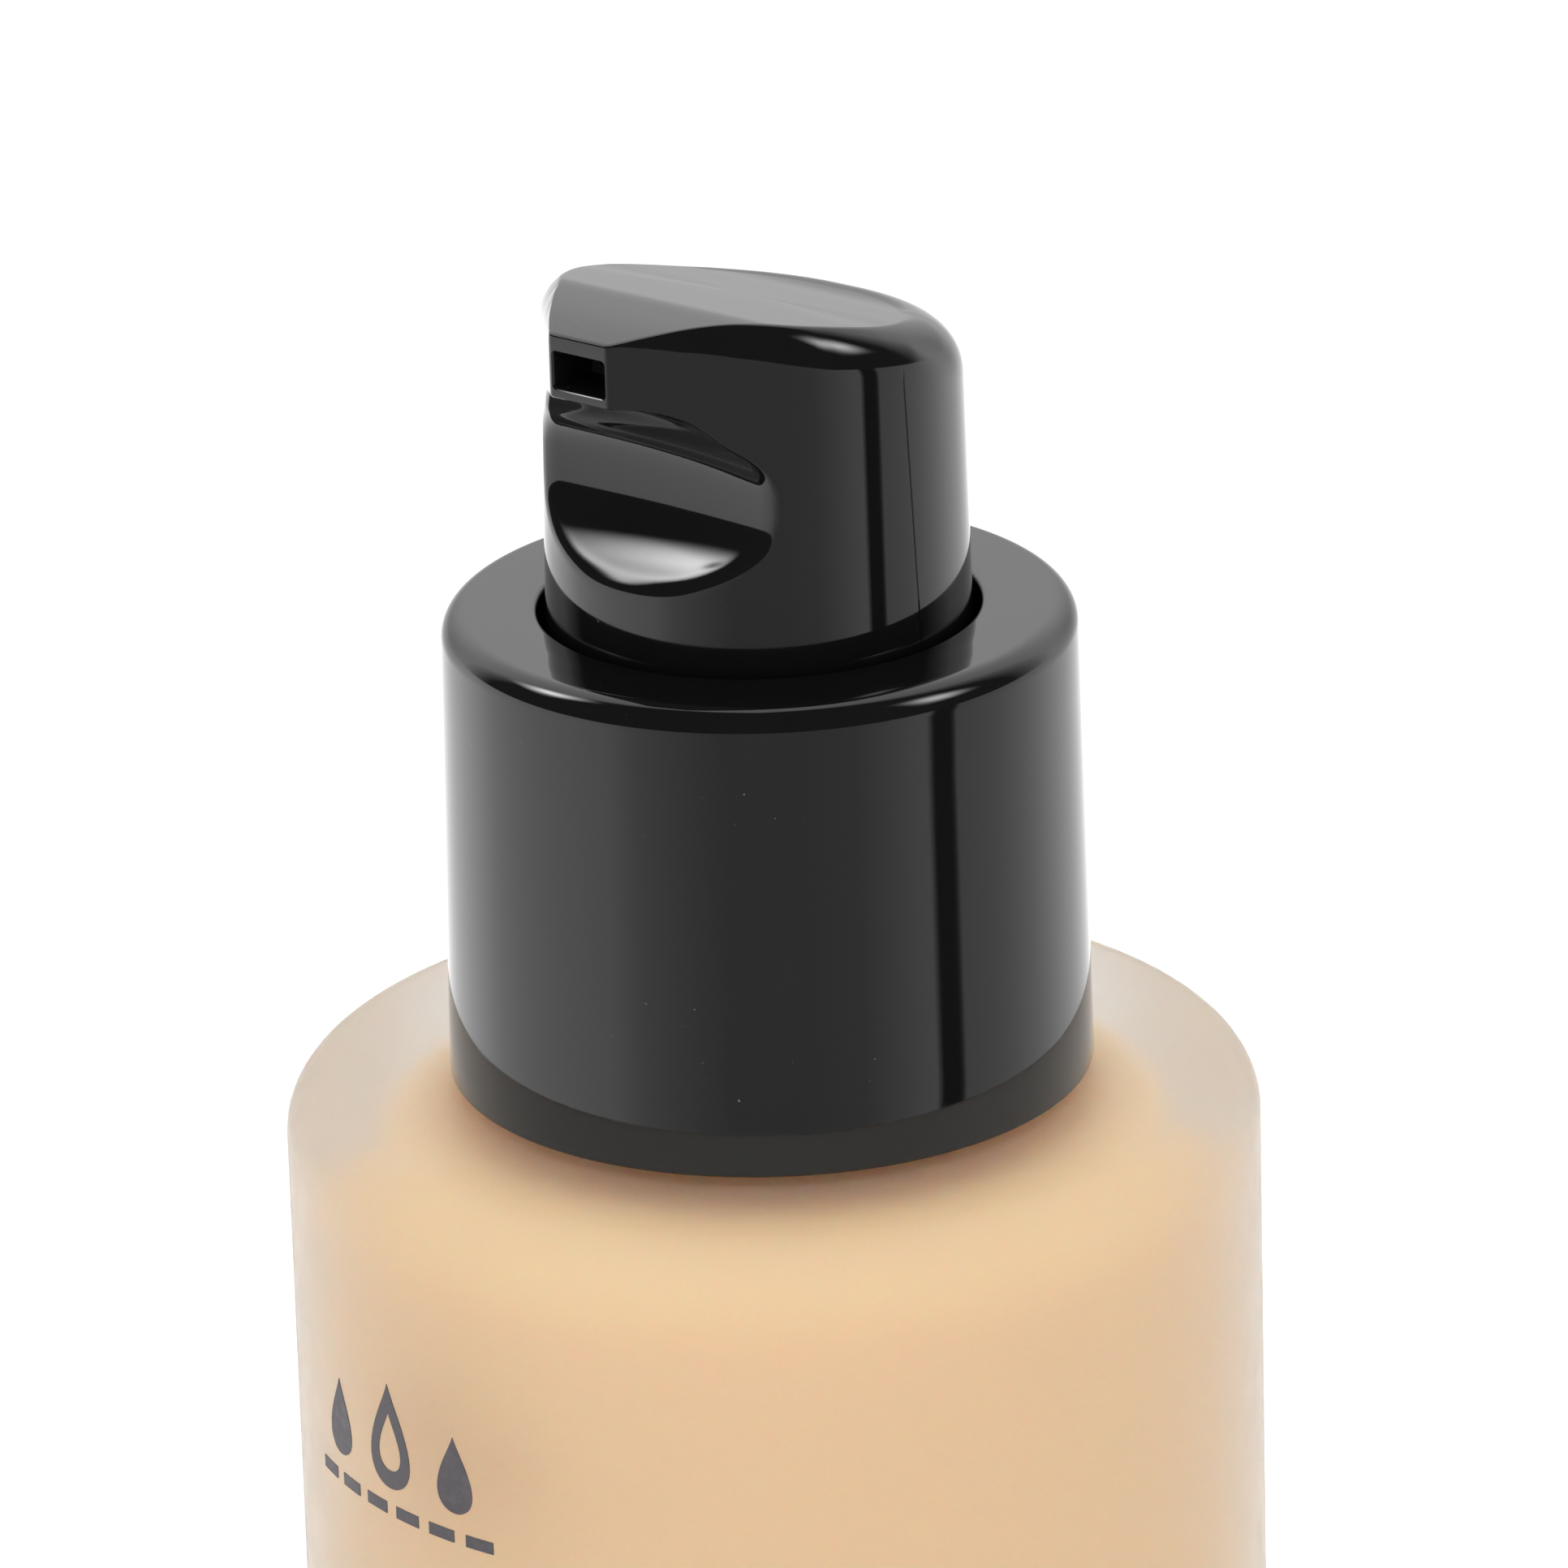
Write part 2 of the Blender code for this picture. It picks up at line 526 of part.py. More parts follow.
def actuator_shell():
    gloss = make_material("actuator_gloss_black", BLACK, 0.08)
    low = ACTUATOR_SKIRT
    high = ACTUATOR_BLANK_TOP
    outline = arc(0.0, 0.0, ACTUATOR_SKIRT_RADIUS, 0, 360, 64)[:-1]
    ratio = ACTUATOR_TOP_RADIUS / ACTUATOR_SKIRT_RADIUS
    item = extruded("actuator_shell", outline, low + OVERSHELL_TOP, high + OVERSHELL_TOP, upward,
                    material=gloss, collection=parts, shrink=ratio)

    reach = math.hypot(BEAK_REACH, BEAK_HALF_WIDTH)
    tangent = math.atan2(BEAK_HALF_WIDTH, BEAK_REACH) + math.acos(ACTUATOR_TOP_RADIUS / reach)
    inside = 0.99 * ACTUATOR_TOP_RADIUS
    side = inside * math.sin(tangent)
    front = -inside * math.cos(tangent)
    beak = [(-BEAK_HALF_WIDTH, -BEAK_REACH), (BEAK_HALF_WIDTH, -BEAK_REACH), (side, front), (side, 0.0),
            (-side, 0.0), (-side, front)]
    combine(item, hide_cutter(extruded("beak", beak, BEAK_BOTTOM + OVERSHELL_TOP,
                                       high - 0.5 + OVERSHELL_TOP, upward)), "UNION")

    pad = lift([(CUTTER_REACH, CUTTER_TOP)] + PAD_OUTLINE + [(PAD_OUTLINE[-1][0], CUTTER_TOP)])
    combine(item, hide_cutter(extruded("pad_cut", pad, -CUTTER_REACH, CUTTER_REACH, across)), "DIFFERENCE")
    scoop = extruded("scoop_cut", lift(SCOOP_OUTLINE), -CUTTER_REACH, CUTTER_REACH, across)
    combine(item, hide_cutter(scoop), "DIFFERENCE")

    skirt = rod("skirt_bore", SKIRT_BORE, low - 1.0 + OVERSHELL_TOP, 2.0 + OVERSHELL_TOP)
    combine(item, skirt, "DIFFERENCE")
    half_angle = math.degrees(math.acos(CAVITY_FRONT / CAVITY_RADIUS))
    cavity = arc(0.0, 0.0, CAVITY_RADIUS, -90 + half_angle, 270 - half_angle, 20)
    combine(item, hide_cutter(extruded("cavity", cavity, 1.0 + OVERSHELL_TOP, CAVITY_TOP + OVERSHELL_TOP,
                                       upward)), "DIFFERENCE")
    combine(item, channel_box("channel_slot", CORE_BAR_WIDTH + 2 * GAP, CORE_BAR_HEIGHT + 2 * GAP,
                              -3.0, CORE_REACH + GAP), "DIFFERENCE")
    mouth = Matrix.Translation((0.0, -BEAK_REACH, OVERSHELL_TOP + NOZZLE_LEVEL))
    mouth_depth = 2 * (BEAK_REACH - CORE_REACH)
    combine(item, block("nozzle_mouth", (NOZZLE_WIDTH, mouth_depth, NOZZLE_HEIGHT), mouth), "DIFFERENCE")
    return item


def nozzle_core():
    """The inner actuator: a socket for the stem, and a channel that rises to the nozzle."""
    plastic = make_material("core_polypropylene", BLACK, 0.35)
    bottom = CORE_BOTTOM + OVERSHELL_TOP
    top = CORE_TOP + OVERSHELL_TOP
    socket_top = STEM_TOP + GAP
    item = turned("nozzle_core", [(0.0, top), (CORE_RADIUS, top), (CORE_RADIUS, bottom), (0.0, bottom)],
                  plastic, base=bottom, steps=32, closed=False)
    combine(item, channel_box("core_bar", CORE_BAR_WIDTH, CORE_BAR_HEIGHT, -2.2, CORE_REACH), "UNION")
    combine(item, rod("core_socket", STEM_RADIUS + GAP, bottom - 1.0, socket_top, 24), "DIFFERENCE")
    riser_top = OVERSHELL_TOP + NOZZLE_LEVEL - CORE_REACH * math.tan(math.radians(CHANNEL_SLOPE))
    combine(item, rod("core_riser", STEM_BORE, socket_top - 1.0, riser_top, 16), "DIFFERENCE")
    combine(item, channel_box("core_channel", CHANNEL_WIDTH, CHANNEL_HEIGHT, -0.6, CORE_REACH + 1.0), "DIFFERENCE")
    return item


clear_scene()
parts = make_collection("foundation_bottle")
cutters = make_collection("cutters")
assembly = bpy.data.objects.new("foundation_bottle_origin", None)
parts.objects.link(assembly)
for make_piece in (bottle, foundation_fill, screw_closure, overshell, neck_gasket, pump_housing,
                   retaining_turret, stem, valve_plug, piston, return_spring, inlet_ball, dip_tube,
                   actuator_shell, nozzle_core):
    make_piece().parent = assembly
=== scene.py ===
"""Looks of the foundation bottle: fine surfaces, procedural materials, studio light and the camera."""

import math

import bmesh
import bpy
import numpy as np
from mathutils import Matrix, Vector


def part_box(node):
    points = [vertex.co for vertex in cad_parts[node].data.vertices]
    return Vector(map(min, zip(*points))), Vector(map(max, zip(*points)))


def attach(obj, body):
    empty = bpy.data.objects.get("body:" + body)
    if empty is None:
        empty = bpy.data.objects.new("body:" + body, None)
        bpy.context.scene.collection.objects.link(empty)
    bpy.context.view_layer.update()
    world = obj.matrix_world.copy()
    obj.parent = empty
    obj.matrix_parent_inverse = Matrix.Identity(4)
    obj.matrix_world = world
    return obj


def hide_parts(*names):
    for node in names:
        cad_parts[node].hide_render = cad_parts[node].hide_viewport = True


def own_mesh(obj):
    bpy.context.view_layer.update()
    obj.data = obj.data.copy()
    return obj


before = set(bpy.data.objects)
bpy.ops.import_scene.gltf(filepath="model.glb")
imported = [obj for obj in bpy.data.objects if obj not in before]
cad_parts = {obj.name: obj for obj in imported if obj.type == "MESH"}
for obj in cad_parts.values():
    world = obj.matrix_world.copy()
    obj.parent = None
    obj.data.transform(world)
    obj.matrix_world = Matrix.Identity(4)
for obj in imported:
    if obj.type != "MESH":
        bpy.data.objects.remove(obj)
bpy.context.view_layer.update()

# Lengths are in millimetres, as in the CAD, with heights from the bottle's foot. Angles are in degrees.
MM = 0.001
SHOULDER = 58.0
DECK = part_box("overshell")[1].z / MM        # the collar's top, which the actuator's heights are measured from
RIM_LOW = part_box("overshell")[0].z / MM

FINE = 0.02              # step of the dense lines that curved outlines are worked out on
SHARP = 32.0             # edges that turn by more than this stay sharp in the shading


# ---------------------------------------------------------------- mesh helpers

def arc(centre, height, radius, start, end, steps=12):
    turn = np.radians(np.linspace(start, end, steps + 1))
    return [(centre + radius * math.cos(a), height + radius * math.sin(a)) for a in turn]


def face_outwards(mesh):
    """Turns a closed mesh's faces outwards."""
    work = bmesh.new()
    work.from_mesh(mesh)
    if work.calc_volume(signed=True) < 0:
        bmesh.ops.reverse_faces(work, faces=work.faces)
        work.to_mesh(mesh)
    work.free()


def new_object(name, mesh):
    made = bpy.data.objects.new(name, mesh)
    bpy.context.scene.collection.objects.link(made)
    return made


def make_piece(name, points, faces, material, body, nodes=(), sharp=SHARP):
    """A mesh piece from points in millimetres; it rides on a body and stands for the given CAD nodes."""
    mesh = bpy.data.meshes.new(name)
    mesh.from_pydata((np.asarray(points, float) * MM).tolist(), [], faces)
    mesh.validate()
    face_outwards(mesh)
    mesh.shade_smooth()
    mesh.set_sharp_from_angle(angle=math.radians(sharp))
    mesh.materials.append(material)
    piece = new_object(name, mesh)
    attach(piece, body)
    if nodes:
        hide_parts(*nodes)
    return piece


def ring_faces(rows, columns):
    """Quads between closed rings of points, row after row."""
    faces = []
    for low in range(0, (rows - 1) * columns, columns):
        high = low + columns
        for i in range(columns):
            j = (i + 1) % columns
            faces.append((low + i, low + j, high + j, high + i))
    return faces


def lathe(outline, steps=224, closed=False):
    """Turns an outline of (radius, height) with the solid on its left. Its ends on the axis become poles."""
    turn = 2 * np.pi * np.arange(steps) / steps
    on_axis = [radius < 1e-6 for radius, _ in outline]
    points, faces, rows = [], [], []
    for (radius, height), pole in zip(outline, on_axis):
        rows.append(len(points))
        if pole:
            points.append((0.0, 0.0, height))
        else:
            points += [(radius * math.cos(a), radius * math.sin(a), height) for a in turn]
    pairs = list(zip(range(len(outline) - 1), range(1, len(outline))))
    if closed:
        pairs.append((len(outline) - 1, 0))
    for a, b in pairs:
        for i in range(steps):
            j = (i + 1) % steps
            if on_axis[a] and not on_axis[b]:
                faces.append((rows[a], rows[b] + j, rows[b] + i))
            elif on_axis[b] and not on_axis[a]:
                faces.append((rows[a] + i, rows[a] + j, rows[b]))
            elif not on_axis[a]:
                faces.append((rows[a] + i, rows[a] + j, rows[b] + j, rows[b] + i))
    return points, faces


def subdivided(outline, longest=2.5):
    """Adds points to an outline's long straight runs."""
    made = [outline[0]]
    for (r0, h0), (r1, h1) in zip(outline, outline[1:]):
        count = max(1, int(math.hypot(r1 - r0, h1 - h0) / longest))
        made += [(r0 + (r1 - r0) * k / count, h0 + (h1 - h0) * k / count) for k in range(1, count + 1)]
    return made


def helix(radius, heights, sizes, per_turn, sides=12):
    """A round bar wound on the axis, with the height and half thickness of each step."""
    rows = []
    for k, (height, size) in enumerate(zip(heights, sizes)):
        a = 2 * math.pi * k / per_turn
        for m in range(sides):
            b = 2 * math.pi * m / sides
            r = radius + size * math.cos(b)
            rows.append((r * math.cos(a), r * math.sin(a), height + size * math.sin(b)))
    last = (len(heights) - 1) * sides
    faces = ring_faces(len(heights), sides)
    return rows, faces + [tuple(range(sides))[::-1], tuple(last + m for m in range(sides))]


def blurred(line, sigma):
    """The line with a Gaussian blur of sigma steps, carried straight on past its ends."""
    reach = int(4 * sigma) + 1
    weights = np.exp(-0.5 * (np.arange(-reach, reach + 1) / sigma) ** 2)
    weights /= weights.sum()
    steps = np.arange(reach, 0, -1)
    head = 2 * line[0] - line[np.minimum(steps, len(line) - 1)]
    tail = 2 * line[-1] - line[np.maximum(len(line) - 1 - steps[::-1], 0)]
    padded = np.vstack([head, line, tail])
    return np.stack([np.convolve(padded[:, k], weights, "valid") for k in range(line.shape[1])], 1)


def smooth_curve(points, blur):
    """A dense Catmull-Rom curve through the points, blurred over the given length."""
    p = np.array(points, float)
    p = np.vstack([2 * p[0] - p[1], p, 2 * p[-1] - p[-2]])
    dense = []
    for a, b, c, d in zip(p, p[1:], p[2:], p[3:]):
        count = max(2, int(np.hypot(*(c - b)) / FINE))
        t = np.linspace(0, 1, count, endpoint=False)[:, None]
        dense.append(0.5 * (2 * b + (c - a) * t + (2 * a - 5 * b + 4 * c - d) * t ** 2
                            + (3 * b - a - 3 * c + d) * t ** 3))
    return blurred(np.vstack(dense + [p[-2][None]]), blur / FINE)


def lengths_along(line):
    return np.concatenate([[0], np.cumsum(np.hypot(*np.diff(line, axis=0).T))])


def smoothstep(low, high, value):
    t = np.clip((value - low) / (high - low), 0, 1)
    return t * t * (3 - 2 * t)


def smooth_min(a, b, width):
    """The smaller of two values, rounded off where they are within width of each other."""
    near = np.maximum(width - np.abs(a - b), 0) / width
    return np.minimum(a, b) - near ** 2 * width / 4


# ---------------------------------------------------------------- shader helpers

def nodes_of(name):
    material = bpy.data.materials.new(name)
    material.use_nodes = True
    tree = material.node_tree
    return material, tree, tree.nodes["Principled BSDF"]


def plug_in(tree, socket, value):
    """Links a socket to another, or sets its value."""
    if isinstance(value, bpy.types.NodeSocket):
        tree.links.new(value, socket)
    elif isinstance(value, tuple):
        socket.default_value = (*value, 1.0)
    else:
        socket.default_value = value


def math_node(tree, operation, *values):
    node = tree.nodes.new("ShaderNodeMath")
    node.operation = operation
    for socket, value in zip(node.inputs, values):
        plug_in(tree, socket, value)
    return node.outputs[0]


def between(tree, value, low, high, start=0.0, end=1.0):
    """start where the value is under low, end where it is over high, smooth in between."""
    node = tree.nodes.new("ShaderNodeMapRange")
    node.interpolation_type = "SMOOTHSTEP"
    tree.links.new(value, node.inputs["Value"])
    for name, number in (("From Min", low), ("From Max", high), ("To Min", start), ("To Max", end)):
        node.inputs[name].default_value = number
    return node.outputs["Result"]


def noise(tree, scale, detail=3.0, roughness=0.5, stretch=(1, 1, 1)):
    """Noise in object space; scale is in features per millimetre."""
    place = tree.nodes.new("ShaderNodeTexCoord")
    mapping = tree.nodes.new("ShaderNodeMapping")
    mapping.inputs["Scale"].default_value = [scale / MM * s for s in stretch]
    tree.links.new(place.outputs["Object"], mapping.inputs["Vector"])
    node = tree.nodes.new("ShaderNodeTexNoise")
    node.inputs["Scale"].default_value = 1.0
    node.inputs["Detail"].default_value = detail
    node.inputs["Roughness"].default_value = roughness
    tree.links.new(mapping.outputs["Vector"], node.inputs["Vector"])
    return node.outputs["Fac"]


def mix(tree, factor, first, second):
    node = tree.nodes.new("ShaderNodeMix")
    node.data_type = "RGBA"
    factor_socket, colour_a, colour_b = node.inputs["Factor"], node.inputs[6], node.inputs[7]
    for socket, value in ((factor_socket, factor), (colour_a, first), (colour_b, second)):
        plug_in(tree, socket, value)
    return node.outputs[2]


def bump(tree, shader, height, strength, distance):
    node = tree.nodes.new("ShaderNodeBump")
    node.inputs["Strength"].default_value = strength
    node.inputs["Distance"].default_value = distance * MM
    tree.links.new(height, node.inputs["Height"])
    tree.links.new(node.outputs["Normal"], shader.inputs["Normal"])


# ---------------------------------------------------------------- materials

def gloss_black():
    """Polished black moulded plastic, with faint flow, a soft orange peel and a little dust."""
    material, tree, shader = nodes_of("gloss_black_plastic")
    shader.inputs["IOR"].default_value = 1.5
    flow = noise(tree, 0.25, 4.0, stretch=(1, 1, 0.4))
    specks = between(tree, noise(tree, 5.0, 1.0), 0.79, 0.83)
    patches = between(tree, noise(tree, 0.12, 2.0), 0.45, 0.65)
    dust = math_node(tree, "MULTIPLY", specks, patches)
    body = mix(tree, flow, (0.0042, 0.0042, 0.0045), (0.0062, 0.0061, 0.0062))
    tree.links.new(mix(tree, dust, body, (0.16, 0.155, 0.15)), shader.inputs["Base Color"])
    tree.links.new(math_node(tree, "ADD", between(tree, flow, 0.3, 0.7, 0.035, 0.07),
                             math_node(tree, "MULTIPLY", dust, 0.4)), shader.inputs["Roughness"])
    bump(tree, shader, noise(tree, 0.45, 2.0), 0.05, 0.02)
    return material


def frosted_glass():
    """Etched glass: a fine satin grain that scatters what is behind it."""
    material, tree, shader = nodes_of("frosted_glass_satin")
    shader.inputs["IOR"].default_value = 1.22    # under real glass, so that clear margins show by the cream
    shader.inputs["Transmission Weight"].default_value = 0.9
    cloud = noise(tree, 0.08, 3.0)
    tree.links.new(mix(tree, cloud, (0.93, 0.915, 0.89), (0.96, 0.95, 0.935)), shader.inputs["Base Color"])
    tree.links.new(between(tree, noise(tree, 0.6, 4.0), 0.3, 0.7, 0.40, 0.48), shader.inputs["Roughness"])
    bump(tree, shader, noise(tree, 14.0, 3.0, 0.6), 0.12, 0.01)
    return material


def foundation():
    """Thick beige cosmetic cream with faint streaks where it clings to the glass."""
    material, tree, shader = nodes_of("foundation_cream")
    shader.inputs["Subsurface Weight"].default_value = 1.0
    shader.inputs["Subsurface Radius"].default_value = (1.0, 0.33, 0.12)
    shader.inputs["Subsurface Scale"].default_value = 7.0 * MM
    streaks = noise(tree, 0.10, 4.0, stretch=(1, 1, 0.25))
    tree.links.new(mix(tree, streaks, (0.81, 0.57, 0.325), (0.85, 0.615, 0.36)), shader.inputs["Base Color"])
    tree.links.new(between(tree, streaks, 0.3, 0.7, 0.35, 0.5), shader.inputs["Roughness"])
    bump(tree, shader, noise(tree, 0.3, 3.0), 0.2, 0.05)
    return material


def moulded(name, dark, light, rough, grain=0.25):
    """Plain moulded plastic with a fine grain and slight clouding."""
    material, tree, shader = nodes_of(name)
    cloud = noise(tree, 0.3, 4.0)
    tree.links.new(mix(tree, cloud, dark, light), shader.inputs["Base Color"])
    tree.links.new(between(tree, noise(tree, 1.2, 3.0), 0.3, 0.7, rough - 0.06, rough + 0.06),
                   shader.inputs["Roughness"])
    shader.inputs["Subsurface Weight"].default_value = 0.1
    shader.inputs["Subsurface Scale"].default_value = 0.4 * MM
    bump(tree, shader, noise(tree, 6.0, 3.0), grain, 0.01)
    return material


def steel(name, along=(1, 1, 1)):
    """Drawn or polished stainless steel, with its fine lines squeezed by along on each axis."""
    material, tree, shader = nodes_of(name)
    shader.inputs["Metallic"].default_value = 1.0
    lines = noise(tree, 3.0, 5.0, stretch=along)
    tree.links.new(mix(tree, lines, (0.50, 0.50, 0.51), (0.68, 0.68, 0.69)), shader.inputs["Base Color"])
    tree.links.new(between(tree, lines, 0.3, 0.7, 0.14, 0.3), shader.inputs["Roughness"])
    bump(tree, shader, lines, 0.15, 0.005)
    return material


def foam():
    """Closed-cell gasket foam."""
    material, tree, shader = nodes_of("gasket_cell_foam")
    place = tree.nodes.new("ShaderNodeTexCoord")
    cells = tree.nodes.new("ShaderNodeTexVoronoi")
    cells.inputs["Scale"].default_value = 6.0 / MM
    tree.links.new(place.outputs["Object"], cells.inputs["Vector"])
    edge = between(tree, cells.outputs["Distance"], 0.1, 0.7)
    tree.links.new(mix(tree, edge, (0.55, 0.55, 0.53), (0.82, 0.82, 0.80)), shader.inputs["Base Color"])
    tree.links.new(between(tree, edge, 0, 1, 0.7, 0.9), shader.inputs["Roughness"])
    bump(tree, shader, edge, 0.5, 0.05)
    return material


def ink():
    """Screen-printed charcoal ink with slightly uneven cover."""
    material, tree, shader = nodes_of("printed_charcoal")
    cover = noise(tree, 2.5, 4.0)
    tree.links.new(mix(tree, between(tree, cover, 0.35, 0.7), (0.050, 0.044, 0.052), (0.085, 0.075, 0.085)),
                   shader.inputs["Base Color"])
    tree.links.new(between(tree, cover, 0.3, 0.7, 0.45, 0.65), shader.inputs["Roughness"])
    bump(tree, shader, cover, 0.2, 0.01)
    return material


# ---------------------------------------------------------------- bottle and its contents

BODY_RADIUS, SHOULDER_ROUNDING, HEEL = 19.0, 2.1, 1.6
INNER_RADIUS, INNER_CORNER, INNER_FLOOR = 15.4, 3.0, 8.5
CEILING = SHOULDER - 2.0
NECK_RADIUS, NECK_BORE, NECK_TOP = 8.7, 6.0, 67.0
THROAT_ROUNDING, LIP_INSIDE, LIP_OUTSIDE, NECK_FILLET = 1.0, 0.2, 0.6, 0.6
PUSH_UP = [(13.4, 0.0), (13.0, 0.05), (12.4, 0.3), (11.0, 0.6), (6.0, 0.9), (0.0, 1.0)]
WET = 0.02               # the liquid reaches this far past the inner wall, so no air shows between them
PUMP_HOLE = [(0.0, 9.4), (1.8, 9.4), (1.8, 36.1), (3.3, 36.1), (3.3, 43.2), (5.5, 45.2), (5.5, CEILING + WET)]
THREAD_RADIUS, THREAD_LOW, THREAD_PITCH, THREAD_TURNS, THREAD_SIZE = 8.8, 60.6, 3.175, 1.25, 0.9
THREAD_STEPS = 72        # steps in a turn
THREAD_RUN_OUT, THREAD_END = 0.12, 0.15      # the part of a turn where an end thins out, and the size left


def make_bottle(glass):
    inner_centre, body_centre = INNER_RADIUS - INNER_CORNER, BODY_RADIUS - SHOULDER_ROUNDING
    inside = [(0.0, INNER_FLOOR)] + arc(inner_centre, INNER_FLOOR + INNER_CORNER, INNER_CORNER, -90, 0)
    inside += arc(inner_centre, CEILING - INNER_CORNER, INNER_CORNER, 0, 90)
    inside += arc(NECK_BORE + THROAT_ROUNDING, CEILING + THROAT_ROUNDING, THROAT_ROUNDING, 270, 180, 8)
    outside = arc(NECK_BORE + LIP_INSIDE, NECK_TOP - LIP_INSIDE, LIP_INSIDE, 180, 90, 4)
    outside += arc(NECK_RADIUS - LIP_OUTSIDE, NECK_TOP - LIP_OUTSIDE, LIP_OUTSIDE, 90, 0, 6)
    outside += arc(NECK_RADIUS + NECK_FILLET, SHOULDER + NECK_FILLET, NECK_FILLET, 180, 270, 6)
    outside += arc(body_centre, SHOULDER - SHOULDER_ROUNDING, SHOULDER_ROUNDING, 90, 0, 18)
    outside += arc(BODY_RADIUS - HEEL, HEEL, HEEL, 0, -90, 10) + PUSH_UP
    points, faces = lathe(subdivided(inside + outside))
    make_piece("bottle_glass", points, faces, glass, "root", ["bottle"], sharp=60)


def make_liquid():
    """The liquid fills the bottle round the pump and the dip tube."""
    centre, radius = INNER_RADIUS - INNER_CORNER, INNER_CORNER + WET
    contents = arc(centre, CEILING - INNER_CORNER, radius, 90, 0)
    contents += arc(centre, INNER_FLOOR + INNER_CORNER, radius, 0, -90)
    contents += [(0.0, INNER_FLOOR - WET)]
    points, faces = lathe(subdivided(PUMP_HOLE + contents))
    make_piece("foundation_liquid_body", points, faces, foundation(), "root",
               ["foundation_fill"])


def make_thread_bead(glass):
    count = round(THREAD_TURNS * THREAD_STEPS)
    step = np.arange(count + 1)
    from_end = np.minimum(step, count - step) / (THREAD_RUN_OUT * THREAD_STEPS)
    sizes = THREAD_SIZE * np.minimum(1, THREAD_END + (1 - THREAD_END) * from_end)
    points, faces = helix(THREAD_RADIUS, THREAD_LOW + THREAD_PITCH * step / THREAD_STEPS, sizes, THREAD_STEPS)
    make_piece("neck_thread_bead", points, faces, glass, "root", sharp=60)


# ---------------------------------------------------------------- return spring

SPRING_LOW, SPRING_HIGH = 47.25, 56.15       # heights of the wire's centre, clear of the plug's free play
SPRING_RADIUS, SPRING_WIRE, SPRING_TURNS, SPRING_STEPS = 2.5, 0.25, 6, 48
CLOSED_PITCH = 0.75                          # of the first and the last turn, which lie flat


def make_spring():
    turns = np.arange(SPRING_TURNS * SPRING_STEPS + 1) / SPRING_STEPS
    closed = np.minimum(turns, 1) + np.maximum(turns - (SPRING_TURNS - 1), 0)
    pitch = (SPRING_HIGH - SPRING_LOW - 2 * CLOSED_PITCH) / (SPRING_TURNS - 2)
    heights = SPRING_LOW + CLOSED_PITCH * closed + pitch * (turns - closed)
    points, faces = helix(SPRING_RADIUS, heights, np.full(len(heights), SPRING_WIRE), SPRING_STEPS)
    spring = make_piece("return_spring_coil", points, faces, steel("drawn_spring_steel", (1, 1, 4)),
                        "pump_engine", ["return_spring"], sharp=60)
    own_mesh(spring)


# ---------------------------------------------------------------- overshell

RIM_RADIUS, RIM_TOP_RADIUS, RIM_ROUNDING, RIM_LIP = 12.55, 12.25, 1.05, 0.12
SHELL_BORE, BORE_CHAMFER, CHAMFER_HEIGHT, DECK_THICKNESS = 11.45, 0.3, 0.8, 1.0
SLEEVE_BORE, SLEEVE_RADIUS, SLEEVE_LOW, SLEEVE_LIP = 8.52, 9.4, 70.9, 0.22


def make_overshell(black):
    """The collar's outer wall and deck, with the sleeve that the actuator slides in."""
    shell = arc(SLEEVE_BORE + SLEEVE_LIP, DECK - SLEEVE_LIP, SLEEVE_LIP, 180, 90, 6)
    shell += [(9.6, DECK), (10.4, DECK)]     # the flat of the deck
    shell += arc(RIM_TOP_RADIUS - RIM_ROUNDING, DECK - RIM_ROUNDING, RIM_ROUNDING, 90, 1, 16)
    shell += arc(RIM_RADIUS - RIM_LIP, RIM_LOW + RIM_LIP, RIM_LIP, 1, -90, 5)
    shell += [(SHELL_BORE + BORE_CHAMFER, RIM_LOW), (SHELL_BORE, RIM_LOW + CHAMFER_HEIGHT)]
    shell += [(SHELL_BORE, DECK - DECK_THICKNESS), (SLEEVE_RADIUS, DECK - DECK_THICKNESS)]
    shell += [(SLEEVE_RADIUS, SLEEVE_LOW), (SLEEVE_BORE, SLEEVE_LOW)]
    points, faces = lathe(subdivided(shell + shell[:1])[:-1], closed=True)
    make_piece("overshell_skin", points, [f[::-1] for f in faces], black, "closure_set",
               ["overshell"])


# ---------------------------------------------------------------- actuator

# Here heights are over the deck, and angles are measured round the axis from the nozzle.
WALL_RADIUS, WALL_TAPER = 8.207, 0.0175
BEAK_REACH, BEAK_HALF, BEAK_BLEND = 10.42, 1.38, 0.14
BEAK_FROM, BEAK_FULL = 3.0, 7.0              # between these heights the round foot grows into the beak
SKIRT, SKIRT_BORE = -1.9, 6.9
CAVITY, CAVITY_FRONT, CAVITY_TOP = 6.7, 4.4, 9.8
EDGE_RADII = [(34, 1.9), (60, 2.1), (90, 1.8), (120, 2.4), (180, 3.1)]          # of the top edge, by angle
EDGE_TURNS = [(0, 8), (7.5, 9), (9, 15), (21, 36), (34, 50), (57, 57), (80, 65), (100, 78), (125, 89),
              (180, 89)]                     # how far it turns before it meets the pad, by angle
PARTING = 83.5           # angle of the mould's parting line, which leans with height
MOUTH_WIDTH, MOUTH_HEIGHT, MOUTH_LEVEL, MOUTH_BACK, MOUTH_CORNER = 2.4, 1.4, 12.07, 7.9, 0.12

